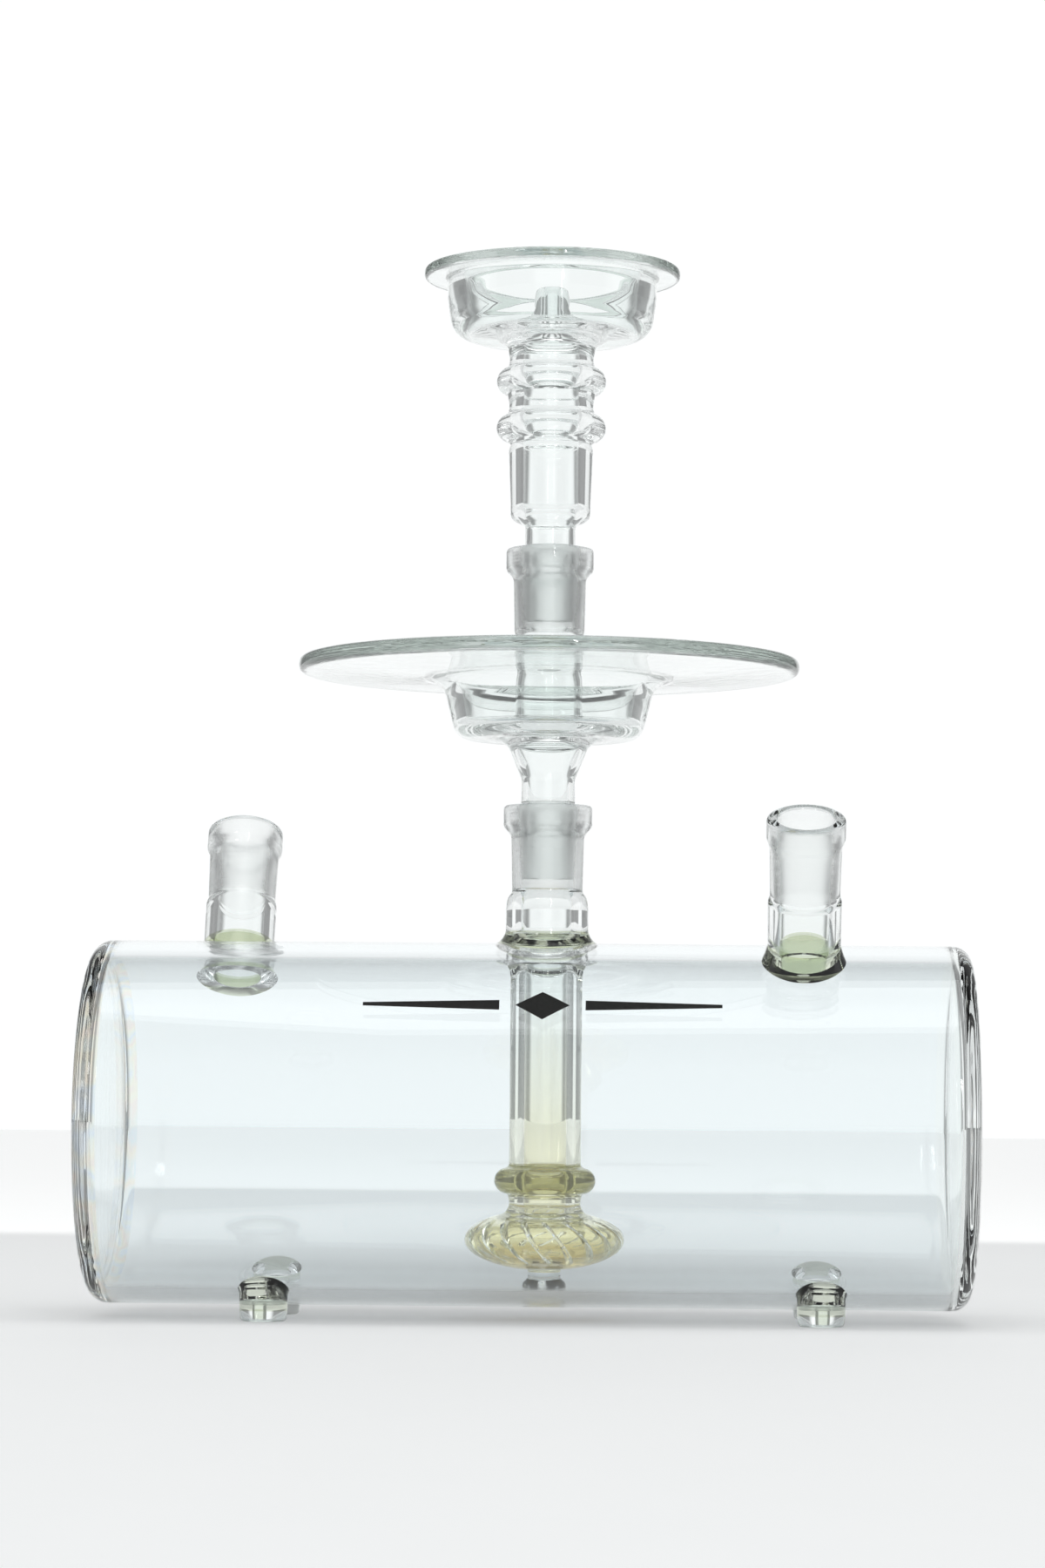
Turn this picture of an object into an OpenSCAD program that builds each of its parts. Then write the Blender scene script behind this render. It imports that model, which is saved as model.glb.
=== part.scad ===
// All-glass water pipe: a horizontal base cylinder on four feet, with two hose sockets and a
// slotted diffuser, an ash tray that lifts out of it, and a bowl that lifts out of the tray.
// Millimetres. The origin is on the table under the middle of the cylinder. +X runs along the
// cylinder to the right, +Y to the back, +Z up.

/* [Base cylinder] */
// Outer diameter of the cylinder
body_d = 112; // [96:1:140]
// Overall length over both end caps
body_l = 274; // [250:1:340]
// Wall of the cylinder
body_wall = 5; // [3.5:0.5:7]
// Clear height under the cylinder
ground_gap = 4; // [2:0.5:8]
// Length of each end cap, from its weld to its highest point
cap_l = 9; // [8:0.5:14]
// Thickness of an end cap's disc
cap_wall = 4.8; // [3:0.2:6]
// How far the disc bulges outwards
cap_dome = 1.3; // [0.5:0.1:2.5]
// Radius of the cap's outer shoulder
cap_round = 6; // [4:0.5:6.5]

/* [Neck and stem position] */
// Distance of the stem from the middle of the cylinder
stem_x = 4.7; // [-12:0.1:12]
// Outer diameter of the neck
neck_d = 25.6; // [23.5:0.1:30]
// Bore of the neck
neck_bore = 15; // [12:0.5:16]
// Height of the neck above the cylinder
neck_h = 15.5; // [10:0.5:30]
// Diameter of the weld round the foot of the neck
neck_flare_d = 32; // [30.5:0.5:38]

/* [Ground joints] */
// Large diameter of the ground joints in the stem
joint_d = 18.8; // [18:0.1:19.6]
// Radial clearance between a ground cone and its socket
joint_fit = 0.05; // [0.02:0.01:0.08]
// Length of the tray's ground cone
tray_cone_l = 23.3; // [18:0.1:26]
// Length of the bowl's ground cone
bowl_cone_l = 23.5; // [18:0.1:25.5]
// Bore through both ground cones
cone_bore = 12; // [9:0.5:13]
// Length of the base socket
base_socket_l = 27.3; // [26.5:0.1:34]
// Diameter of the collar round the base socket
base_collar_d = 27.6; // [26:0.1:32]
// Height of the collar round the base socket
base_collar_h = 7; // [4:0.5:9]
// Length of the tray socket
tray_socket_l = 26.2; // [26:0.1:34]
// Diameter of the collar round the tray socket
tray_collar_d = 27.3; // [26:0.1:32]
// Height of the collar round the tray socket
tray_collar_h = 7.5; // [4:0.5:9]

/* [Downstem and diffuser] */
// Outer diameter of the downstem
downstem_d = 22.2; // [19:0.1:24]
// Bore of the downstem
downstem_bore = 13; // [10:0.5:15]
// Outer diameter of the bead on the downstem
stem_bead_d = 31.3; // [27:0.1:36]
// Height of that bead
stem_bead_h = 8; // [5:0.5:10]
// Outer diameter of the short neck above the diffuser
waist_d = 22.8; // [19:0.1:24]
// Height of that neck
waist_h = 5.8; // [4:0.1:10]
// Outer diameter of the diffuser
diffuser_d = 49.3; // [44:0.1:60]
// Height of the diffuser
diffuser_h = 16.6; // [14:0.1:20]
// Wall of the diffuser
diffuser_wall = 2.4; // [1.8:0.1:3]
// Number of slits in the diffuser
slit_count = 18; // [10:1:22]
// Width of a slit
slit_w = 1; // [0.6:0.1:1.6]
// Lean of the slits from upright, degrees
slit_lean = 38; // [20:1:45]
// Space between the cylinder's floor and the diffuser
diffuser_gap = 7.4; // [5:0.2:12]
// Diameter of the post under the diffuser
post_d = 10; // [7:0.5:12]
// Diameter of the bulge where the post meets the floor
post_foot_d = 13.4; // [13:0.1:18]

/* [Hose sockets] */
// Position of the rear hose socket along the cylinder
rear_port_x = -93.5; // [-105:0.5:-60]
// Position of the front hose socket along the cylinder
front_port_x = 83.5; // [60:0.5:105]
// Lean of the hose sockets from upright, degrees
port_lean = 26; // [10:1:40]
// Length of a hose socket from the cylinder to its mouth
port_l = 47; // [40:0.5:60]
// Outer diameter of its clear tube
port_d = 22.2; // [20:0.1:25]
// Bore of its clear tube
port_bore = 15; // [11:0.1:15.5]
// Hole through the cylinder's wall under it
port_hole_d = 11; // [8:0.5:14]
// Diameter of the weld round its foot
port_flare_d = 25.8; // [25:0.1:30]
// Diameter of its ground mouth
port_mouth_d = 17; // [16.8:0.1:19]
// Length of its ground part
port_socket_l = 25.5; // [20:0.5:28]
// Diameter of the collar round its mouth
port_collar_d = 24; // [23.6:0.1:28]
// Height of the collar round its mouth
port_collar_h = 6.7; // [4:0.1:9]

/* [Feet] */
// Half the distance between the left and right feet
foot_spread = 84.5; // [60:0.5:95]
// Distance of a foot from the cylinder's middle plane
foot_y = 23.5; // [18:0.5:30]
// Diameter of a foot where it meets the cylinder
foot_top_d = 18; // [14:0.1:20]
// Diameter of a foot on the table
foot_d = 14.4; // [10:0.1:16]

/* [Ash tray] */
// Outer diameter of the tray's shank
tray_shank_d = 16.7; // [15.5:0.1:18]
// Length of the tray's shank
tray_shank_l = 9.5; // [5:0.5:20]
// Height of the reducer under the cup
reducer_h = 10.8; // [8:0.1:16]
// Diameter of the reducer where it meets the cup
reducer_top_d = 35.4; // [32:0.1:40]
// Outer diameter of the cup at its floor
cup_low_d = 60.2; // [52:0.1:70]
// Outer diameter of the cup under the plate
cup_top_d = 68.3; // [60:0.1:80]
// Wall of the cup
cup_wall = 5; // [3:0.5:6]
// Thickness of the cup's floor
cup_floor = 4.4; // [3:0.2:6]
// Height from the cup's underside to the middle of the plate's rim
plate_rise = 22.9; // [20:0.1:28]
// Diameter of the plate
plate_d = 155.5; // [130:0.5:190]
// Thickness of the plate at its rim
plate_t = 4.7; // [3.5:0.1:6]
// How far the plate falls from its rim to the cup
plate_dish = 2.4; // [0:0.2:3]
// Outer diameter of the tube that rises from the cup
tray_tube_d = 20.9; // [19.5:0.1:22]
// Wall of that tube
tray_tube_wall = 1.8; // [1.5:0.1:2.4]
// Height of the tray socket's lower end above the cup's underside
tray_tube_rise = 33.7; // [30:0.1:50]

/* [Bowl] */
// Outer diameter of the bowl's shank
bowl_shank_d = 15.7; // [14.5:0.1:17]
// Length of the bowl's shank
bowl_shank_l = 7.5; // [4:0.5:15]
// Outer diameter of the chamber at its top
chamber_d = 26.4; // [23:0.1:27]
// Outer diameter of the chamber just above its rounded bottom
chamber_low_d = 24.8; // [22:0.1:26]
// Bore of the chamber
chamber_bore = 17.4; // [13:0.1:18]
// Height of the chamber
chamber_h = 25.2; // [20:0.1:35]
// Outer diameter of the bowl's neck
bowl_neck_d = 27.2; // [26:0.1:29]
// Bore of the bowl's neck
bowl_neck_bore = 17.6; // [15:0.1:19]
// Height of the bowl's neck
bowl_neck_h = 32; // [26:0.1:40]
// Outer diameter of the two beads
bowl_bead_d = 34.2; // [31:0.1:40]
// Height of a bead
bowl_bead_h = 8; // [5:0.1:9]
// Height of the lower bead's middle above the chamber
low_bead_rise = 5.1; // [4.6:0.1:6]
// Height of the upper bead's middle above the chamber
high_bead_rise = 19.8; // [15:0.1:21]
// Outer diameter of the dish
dish_d = 65.4; // [58:0.1:75]
// Wall of the dish
dish_wall = 5.6; // [3:0.1:7]
// Height of the dish from the neck to its flat rim
dish_h = 23.3; // [22:0.1:35]
// Thickness of the dish's floor
dish_floor = 4; // [3.5:0.1:8]
// Diameter of the rim
rim_d = 80; // [76:0.1:95]
// Thickness of the rim
rim_t = 3.4; // [2.5:0.1:5]
// Diameter of the spire at its tip
spire_tip_d = 10; // [8:0.1:12]
// Diameter of the spire at its base
spire_base_d = 22.6; // [18:0.1:26]
// Height of the spire above the dish's floor
spire_h = 14.3; // [9:0.1:16]
// Bore of the spire
spire_bore = 4.6; // [3:0.1:6]

/* [Print] */
// Length of the printed ornament
print_l = 108; // [60:1:130]
// Angle of the ornament above the cylinder's middle, degrees
print_angle = 40; // [20:1:60]

/* [Hidden] */
$fn = 96;
eps = 0.01;
// Ground joints narrow by 1 mm in every 10 mm of length.
taper = 1 / 10;
print_t = 0.12;
lip_round = 1.4;
weld_h = 6;
flare_h = 4;

body_r = body_d / 2;
body_in_r = body_r - body_wall;
axis_z = ground_gap + body_r;
body_top = axis_z + body_r;
tube_l = body_l - 2 * cap_l;

neck_top = body_top + neck_h;
base_rim = neck_top + base_socket_l;
floor_z = ground_gap + body_wall;

// The diffuser is an oblate shell, cut flat where the post and the neck meet it.
diffuser_r = diffuser_d / 2;
diffuser_cut_r = waist_d / 2;
diffuser_half = diffuser_h / 2;
diffuser_b = diffuser_half / sqrt(1 - pow(diffuser_cut_r / diffuser_r, 2));
diffuser_z = floor_z + diffuser_gap;
waist_z = diffuser_z + diffuser_h;
bead_z = waist_z + waist_h;
downstem_z = bead_z + stem_bead_h;

cup_z = base_rim + tray_shank_l + reducer_h;
tray_socket_z = cup_z + tray_tube_rise;
tray_rim = tray_socket_z + tray_socket_l;
cup_low_r = cup_low_d / 2;
cup_top_r = cup_top_d / 2;
cup_round = 5;
tray_tube_bore = tray_tube_d - 2 * tray_tube_wall;
shank_bore = cone_bore + 0.6;

chamber_z = tray_rim + bowl_shank_l;
bowl_neck_z = chamber_z + chamber_h;
dish_z = bowl_neck_z + bowl_neck_h;

// Points of an elliptical arc about (cx, cy), from angle a0 to a1, in degrees.
function arc(cx, cy, rx, ry, a0, a1, steps = 8) =
    [for (i = [0 : steps]) let (a = a0 + (a1 - a0) * i / steps) [cx + rx * cos(a), cy + ry * sin(a)]];

module clear_glass() {
    color([0.86, 0.92, 0.92, 0.45]) children();
}

module ground_glass() {
    color([0.80, 0.84, 0.83, 0.9]) children();
}

module fumed_glass() {
    color([0.86, 0.83, 0.50, 0.6]) children();
}

// Places what is drawn upright on the stem's axis, at height z.
module on_stem(z) {
    translate([stem_x, 0, z]) children();
}

// Places what is drawn upright on a hose socket's axis, r from the cylinder's axis.
module on_port(x, lean, r) {
    translate([x, 0, axis_z]) rotate([lean, 0, 0]) translate([0, 0, r]) children();
}

// A cylinder about the X axis.
module lying(length, r) {
    rotate([0, 90, 0]) cylinder(h = length, r = r, center = true);
}

module along_body(length, r) {
    translate([0, 0, axis_z]) lying(length, r);
}

module outside_body() {
    difference() {
        children();
        along_body(body_l, body_r);
    }
}

module tube(h, d, bore) {
    difference() {
        cylinder(h = h, d = d);
        translate([0, 0, -1]) cylinder(h = h + 2, d = bore);
    }
}

// A ring with a rounded outside, such as a glassblower's bead.
module bead(h, d, root_d, bore) {
    rotate_extrude() polygon(concat(
        [[bore / 2, h], [bore / 2, 0]],
        arc(root_d / 2, h / 2, (d - root_d) / 2, h / 2, -90, 90, 12)));
}

// Short tube with a concave flare where it is welded to the cylinder, z = 0 at the surface.
module weld_ring(h, d, flare_d, bore) {
    flare = (flare_d - d) / 2;
    sink = body_r - sqrt(body_r * body_r - flare_d * flare_d / 4) + 1;
    rotate_extrude() polygon(concat(
        [[bore / 2, h], [bore / 2, -sink], [flare_d / 2, -sink]],
        arc(d / 2 + flare, flare_h, flare, flare_h, -90, -180),
        [[d / 2, h]]));
}

// Ground socket: a tapered mouth in a body with a rolled collar at its top.
module ground_socket(length, low_d, top_d, collar_d, collar_h, mouth_d) {
    mouth_r = mouth_d / 2;
    collar_r = collar_d / 2;
    under = length - collar_h;
    shoulder = min(1.8, (collar_d - top_d) / 2);
    rotate_extrude() polygon(concat(
        [[mouth_r - length * taper / 2, 0], [low_d / 2, 0], [top_d / 2, under - shoulder]],
        [[collar_r, under]],
        arc(collar_r - lip_round, length - lip_round, lip_round, lip_round, 0, 90, 6),
        [[mouth_r + 0.5, length], [mouth_r - 0.5 * taper / 2, length - 0.5]]));
}

// Ground cone, drawn down from z = 0 where it leaves its socket's mouth.
module ground_cone(length, bore) {
    difference() {
        translate([0, 0, -length])
            cylinder(h = length, r1 = (joint_d - length * taper) / 2, r2 = joint_d / 2);
        translate([0, 0, -length - 1]) cylinder(h = length + 2, d = bore);
    }
}

module end_cap() {
    edge_x = cap_l - cap_dome;
    in_x = edge_x - cap_wall;
    in_round = min(2.5, in_x - 0.2);
    edge_r = body_r - cap_round;
    in_edge_r = body_in_r - in_round;
    rotate([0, 90, 0]) rotate_extrude() polygon(concat(
        [[body_in_r, 0], [body_r, 0]],
        arc(edge_r, edge_x - cap_round, cap_round, cap_round, 0, 90),
        arc(0, edge_x, edge_r, cap_dome, 8, 90),
        arc(0, in_x, in_edge_r, cap_dome, 90, 8),
        arc(in_edge_r, in_x - in_round, in_round, in_round, 90, 0)));
}

module body_tube() {
    clear_glass() difference() {
        along_body(tube_l, body_r);
        along_body(body_l, body_in_r);
        on_stem(axis_z) cylinder(h = body_r + 1, d = downstem_d);
        on_port(rear_port_x, -port_lean, 0) cylinder(h = body_r + 1, d = port_hole_d);
        on_port(front_port_x, port_lean, 0) cylinder(h = body_r + 1, d = port_hole_d);
    }
}

module end_cap_right() {
    clear_glass() translate([tube_l / 2, 0, axis_z]) end_cap();
}

module end_cap_left() {
    clear_glass() translate([-tube_l / 2, 0, axis_z]) mirror([1, 0, 0]) end_cap();
}

module neck() {
    clear_glass() outside_body() on_stem(body_top) weld_ring(neck_h, neck_d, neck_flare_d, neck_bore);
}

module base_socket() {
    ground_glass() on_stem(neck_top) ground_socket(base_socket_l, joint_d + 3.1, joint_d + 3.9,
        base_collar_d, base_collar_h, joint_d + 2 * joint_fit);
}

module downstem() {
    clear_glass() intersection() {
        on_stem(downstem_z) tube(body_top, downstem_d, downstem_bore);
        along_body(body_l, body_r);
    }
}

module downstem_bead() {
    fumed_glass() on_stem(bead_z) bead(stem_bead_h, stem_bead_d, downstem_d, downstem_bore);
}

module diffuser_neck() {
    fumed_glass() on_stem(waist_z) tube(waist_h, waist_d, downstem_bore);
}

// One slit's cutter, leaning along the diffuser's skin.
module slit() {
    translate([diffuser_r, 0, 0]) rotate([slit_lean, 0, 0])
        cube([diffuser_d / 3, slit_w, diffuser_h * 0.86], center = true);
}

module diffuser() {
    in_r = diffuser_r - diffuser_wall;
    in_b = diffuser_b - diffuser_wall;
    cut = asin(diffuser_half / diffuser_b);
    in_cut = acos(downstem_bore / 2 / in_r);
    low = min(diffuser_half - diffuser_wall, in_b * 0.95);
    in_low = -asin(low / in_b);
    fumed_glass() on_stem(diffuser_z + diffuser_half) difference() {
        rotate_extrude() polygon(concat(
            [[0, -diffuser_half]],
            arc(0, 0, diffuser_r, diffuser_b, -cut, cut, 16),
            [[downstem_bore / 2, diffuser_half]],
            arc(0, 0, in_r, in_b, in_cut, in_low, 16),
            [[0, -low]]));
        for (i = [0 : slit_count - 1])
            rotate([0, 0, i * 360 / slit_count]) slit();
    }
}

module support_post() {
    bulge_h = 2.6;
    clear_glass() intersection() {
        on_stem(ground_gap) union() {
            cylinder(h = body_wall + diffuser_gap, d = post_d);
            cylinder(h = body_wall + bulge_h, d = post_foot_d);
            translate([0, 0, body_wall + bulge_h - eps])
                cylinder(h = bulge_h / 2, d1 = post_foot_d, d2 = post_d);
        }
        along_body(body_l, body_in_r);
    }
}

module port_weld(x, lean) {
    clear_glass() on_port(x, lean, 0) difference() {
        translate([0, 0, body_r]) weld_ring(weld_h, port_d, port_flare_d, port_bore);
        lying(port_flare_d * 2, body_r);
    }
}

module port_tube(x, lean) {
    clear_glass() on_port(x, lean, body_r + weld_h)
        tube(port_l - port_socket_l - weld_h, port_d, port_bore);
}

module port_socket(x, lean) {
    ground_glass() on_port(x, lean, body_r + port_l - port_socket_l)
        ground_socket(port_socket_l, port_d - 0.9, port_d - 0.1, port_collar_d, port_collar_h, port_mouth_d);
}

module rear_port_weld() {
    port_weld(rear_port_x, -port_lean);
}

module rear_port_tube() {
    port_tube(rear_port_x, -port_lean);
}

module rear_port_socket() {
    port_socket(rear_port_x, -port_lean);
}

module front_port_weld() {
    port_weld(front_port_x, port_lean);
}

module front_port_tube() {
    port_tube(front_port_x, port_lean);
}

module front_port_socket() {
    port_socket(front_port_x, port_lean);
}

// A solid glass foot; side is -1 at the left, row is -1 at the front.
module foot(side, row) {
    edge = 1;
    top_z = axis_z - sqrt(body_r * body_r - pow(foot_y + foot_top_d / 2, 2)) + 1;
    clear_glass() outside_body() translate([stem_x + side * foot_spread, row * foot_y, 0]) union() {
        cylinder(h = edge, d1 = foot_d - 2 * edge, d2 = foot_d);
        translate([0, 0, edge]) cylinder(h = top_z - edge, d1 = foot_d, d2 = foot_top_d);
    }
}

module foot_front_left() {
    foot(-1, -1);
}

module foot_front_right() {
    foot(1, -1);
}

module foot_rear_left() {
    foot(-1, 1);
}

module foot_rear_right() {
    foot(1, 1);
}

// A lozenge between two tapering bars, printed on the cylinder.
module printed_ornament() {
    lozenge_l = print_l * 0.15;
    lozenge_h = print_l * 0.10;
    bar_in = print_l * 0.12;
    bar_h = print_l * 0.035;
    color([0.05, 0.05, 0.05]) intersection() {
        difference() {
            along_body(print_l * 1.2, body_r + print_t);
            along_body(print_l * 1.4, body_r);
        }
        on_port(stem_x, 90 - print_angle, body_r / 2) linear_extrude(height = body_r) union() {
            polygon([[lozenge_l / 2, 0], [0, lozenge_h / 2], [-lozenge_l / 2, 0], [0, -lozenge_h / 2]]);
            for (side = [-1, 1])
                polygon([[side * bar_in, -bar_h / 2], [side * bar_in, bar_h / 2],
                    [side * print_l / 2, bar_h / 6], [side * print_l / 2, -bar_h / 6]]);
        }
    }
}

module tray_cone() {
    ground_glass() on_stem(base_rim) ground_cone(tray_cone_l, cone_bore);
}

module tray_shank() {
    clear_glass() on_stem(base_rim) tube(tray_shank_l, tray_shank_d, shank_bore);
}

module tray_reducer() {
    low_r = tray_shank_d / 2;
    top_r = reducer_top_d / 2;
    mid_r = low_r + (top_r - low_r) * 0.45;
    mid_h = reducer_h * 0.74;
    clear_glass() on_stem(base_rim + tray_shank_l) rotate_extrude() polygon(concat(
        [[shank_bore / 2, reducer_h], [shank_bore / 2, 0], [low_r, 0], [mid_r, mid_h]],
        arc(top_r, mid_h, top_r - mid_r, reducer_h - mid_h, 180, 90, 6)));
}

module ash_plate() {
    plate_r = plate_d / 2;
    rim_r = plate_t / 2;
    // Thickness of the plate beside the cup
    web = plate_t * 0.85;
    blend = 6;
    under = plate_rise - plate_dish - web / 2;
    top = plate_rise - plate_dish + web / 2;
    out_r = cup_top_r + blend / 2;
    in_r = cup_top_r - cup_wall;
    in_low_r = cup_low_r - cup_wall;
    in_round = 3;
    clear_glass() on_stem(cup_z) rotate_extrude() polygon(concat(
        [[shank_bore / 2, 0]],
        arc(cup_low_r - cup_round, cup_round, cup_round, cup_round, -90, -15),
        arc(out_r, under - blend / 2, blend / 2, blend / 2, 170, 90, 6),
        arc(plate_r - rim_r, plate_rise, rim_r, rim_r, -90, 90, 12),
        arc(in_r + blend, top - blend, blend, blend, 90, 170, 6),
        arc(in_low_r - in_round, cup_floor + in_round, in_round, in_round, -10, -90, 6),
        [[shank_bore / 2, cup_floor]]));
}

module tray_tube() {
    clear_glass() on_stem(cup_z + cup_floor)
        tube(tray_tube_rise - cup_floor, tray_tube_d, tray_tube_bore);
}

module tray_socket() {
    ground_glass() on_stem(tray_socket_z) ground_socket(tray_socket_l, joint_d + 1.2, joint_d + 4.2,
        tray_collar_d, tray_collar_h, joint_d + 2 * joint_fit);
}

module bowl_cone() {
    ground_glass() on_stem(tray_rim) ground_cone(bowl_cone_l, cone_bore);
}

module bowl_shank() {
    clear_glass() on_stem(tray_rim) tube(bowl_shank_l, bowl_shank_d, shank_bore);
}

module bowl_chamber() {
    out_round = 4.2;
    low_r = chamber_low_d / 2;
    in_r = chamber_bore / 2;
    floor_h = 3.6;
    clear_glass() on_stem(chamber_z) rotate_extrude() polygon(concat(
        [[shank_bore / 2, floor_h], [shank_bore / 2, 0]],
        arc(low_r - out_round, out_round, out_round, out_round, -90, 0),
        [[chamber_d / 2, chamber_h * 0.45], [chamber_d / 2, chamber_h]],
        [[in_r, chamber_h], [in_r, floor_h + 2]]));
}

module bowl_neck() {
    clear_glass() on_stem(bowl_neck_z) tube(bowl_neck_h, bowl_neck_d, bowl_neck_bore);
}

module bowl_bead(rise) {
    clear_glass() on_stem(bowl_neck_z + rise - bowl_bead_h / 2)
        bead(bowl_bead_h, bowl_bead_d, bowl_neck_d, bowl_neck_d);
}

module bowl_bead_lower() {
    bowl_bead(low_bead_rise);
}

module bowl_bead_upper() {
    bowl_bead(high_bead_rise);
}

module bowl_dish() {
    wall_r = dish_d / 2;
    in_r = wall_r - dish_wall;
    neck_r = bowl_neck_d / 2;
    rim_r = rim_d / 2;
    corner = 10;
    corner_h = 11.5;
    funnel_h = 2.4;
    heel = 1.2;
    in_round = 3;
    under = dish_h - rim_t;
    lip = 3;
    clear_glass() on_stem(dish_z) rotate_extrude() polygon(concat(
        [[bowl_neck_bore / 2, 0], [neck_r, 0], [neck_r + 3, heel]],
        arc(wall_r - corner, heel + corner_h, corner, corner_h, -90, 0),
        arc(wall_r + lip, under - lip, lip, lip, 180, 90, 6),
        arc(rim_r - rim_t / 2, under + rim_t / 2, rim_t / 2, rim_t / 2, -90, 60, 8),
        [[rim_r - rim_t / 2 - 0.4, dish_h], [in_r + 2, dish_h]],
        arc(in_r + 2, dish_h - 2, 2, 2, 90, 180, 6),
        arc(in_r - in_round, dish_floor + in_round, in_round, in_round, 0, -90, 6),
        [[spire_bore / 2, dish_floor], [bowl_neck_bore / 2, dish_floor - funnel_h]]));
}

module bowl_spire() {
    tip_r = spire_tip_d / 2;
    flare = (spire_base_d - spire_tip_d) / 2;
    tip_round = 1;
    clear_glass() on_stem(dish_z + dish_floor) rotate_extrude() polygon(concat(
        [[spire_bore / 2, spire_h], [spire_bore / 2, 0]],
        arc(tip_r + flare, spire_h * 0.8, flare, spire_h * 0.8, -90, -180),
        arc(tip_r - tip_round, spire_h - tip_round, tip_round, tip_round, 0, 90, 4)));
}

body_tube();
end_cap_left();
end_cap_right();
neck();
base_socket();
downstem();
downstem_bead();
diffuser_neck();
diffuser();
support_post();
rear_port_weld();
rear_port_tube();
rear_port_socket();
front_port_weld();
front_port_tube();
front_port_socket();
foot_front_left();
foot_front_right();
foot_rear_left();
foot_rear_right();
printed_ornament();
tray_cone();
tray_shank();
tray_reducer();
ash_plate();
tray_tube();
tray_socket();
bowl_cone();
bowl_shank();
bowl_chamber();
bowl_neck();
bowl_bead_lower();
bowl_bead_upper();
bowl_dish();
bowl_spire();
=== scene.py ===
import math
import time
import bpy
from mathutils import Matrix, Vector


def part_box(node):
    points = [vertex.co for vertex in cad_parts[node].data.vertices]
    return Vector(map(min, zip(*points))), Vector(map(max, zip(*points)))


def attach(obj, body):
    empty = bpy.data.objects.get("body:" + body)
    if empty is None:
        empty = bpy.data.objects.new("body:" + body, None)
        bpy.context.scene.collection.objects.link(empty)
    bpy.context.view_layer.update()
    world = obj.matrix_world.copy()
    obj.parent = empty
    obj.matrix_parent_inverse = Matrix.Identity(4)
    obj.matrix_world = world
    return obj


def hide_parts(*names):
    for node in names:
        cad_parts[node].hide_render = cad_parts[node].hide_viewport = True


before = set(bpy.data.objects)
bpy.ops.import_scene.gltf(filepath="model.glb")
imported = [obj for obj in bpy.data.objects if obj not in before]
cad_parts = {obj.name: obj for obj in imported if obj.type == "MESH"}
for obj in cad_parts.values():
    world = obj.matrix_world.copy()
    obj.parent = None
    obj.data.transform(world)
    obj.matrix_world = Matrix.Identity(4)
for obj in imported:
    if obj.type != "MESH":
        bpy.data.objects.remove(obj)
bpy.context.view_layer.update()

scene = bpy.context.scene
scene.view_settings.view_transform = "Standard"
scene.view_settings.look = "None"
scene.cycles.max_bounces = 48
scene.cycles.transmission_bounces = 48
scene.cycles.glossy_bounces = 24
scene.cycles.diffuse_bounces = 4
scene.cycles.transparent_max_bounces = 32
scene.cycles.caustics_reflective = True
scene.cycles.caustics_refractive = True
scene.cycles.sample_clamp_indirect = 6
scene.cycles.use_denoising = True


def span(node):                                        # a node's box in millimetres
    low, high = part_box(node)
    return low * 1000, high * 1000


cameraSet = {"place": (0.0435, -1.4, 0.067), "target": (-0.0033, 0, 0.1655), "lens": 103.8, "roll": 0.5}


def makeCamera(values):
    data = bpy.data.cameras.new("camera")
    data.lens, data.sensor_width = values["lens"], 36
    data.clip_start, data.clip_end = 0.05, 40
    camera = bpy.data.objects.new("camera", data)
    scene.collection.objects.link(camera)
    place, target = Vector(values["place"]), Vector(values["target"])
    forward = (target - place).normalized()
    right = forward.cross(Vector((0, 0, 1))).normalized()
    up = right.cross(forward)
    turn = math.radians(values["roll"])
    upTurned = up * math.cos(turn) - right * math.sin(turn)
    rightTurned = forward.cross(upTurned)
    axes = Matrix((rightTurned, upTurned, -forward)).transposed()
    camera.matrix_world = Matrix.Translation(place) @ axes.to_4x4()
    scene.camera = camera


makeCamera(cameraSet)
print("camera set", round(time.perf_counter(), 1))


class Socket:                                          # a shader socket that takes part in sums
    def __init__(self, board, socket):
        self.board, self.socket = board, socket

    def calc(self, operation, first, second):
        return self.board.node("ShaderNodeMath", {"operation": operation}, {0: first, 1: second})

    def __add__(self, other): return self.calc("ADD", self, other)
    def __radd__(self, other): return self.calc("ADD", other, self)
    def __sub__(self, other): return self.calc("SUBTRACT", self, other)
    def __rsub__(self, other): return self.calc("SUBTRACT", other, self)
    def __mul__(self, other): return self.calc("MULTIPLY", self, other)
    def __rmul__(self, other): return self.calc("MULTIPLY", other, self)
    def __truediv__(self, other): return self.calc("DIVIDE", self, other)
    def __rtruediv__(self, other): return self.calc("DIVIDE", other, self)
    def __pow__(self, other): return self.calc("POWER", self, other)


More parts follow.
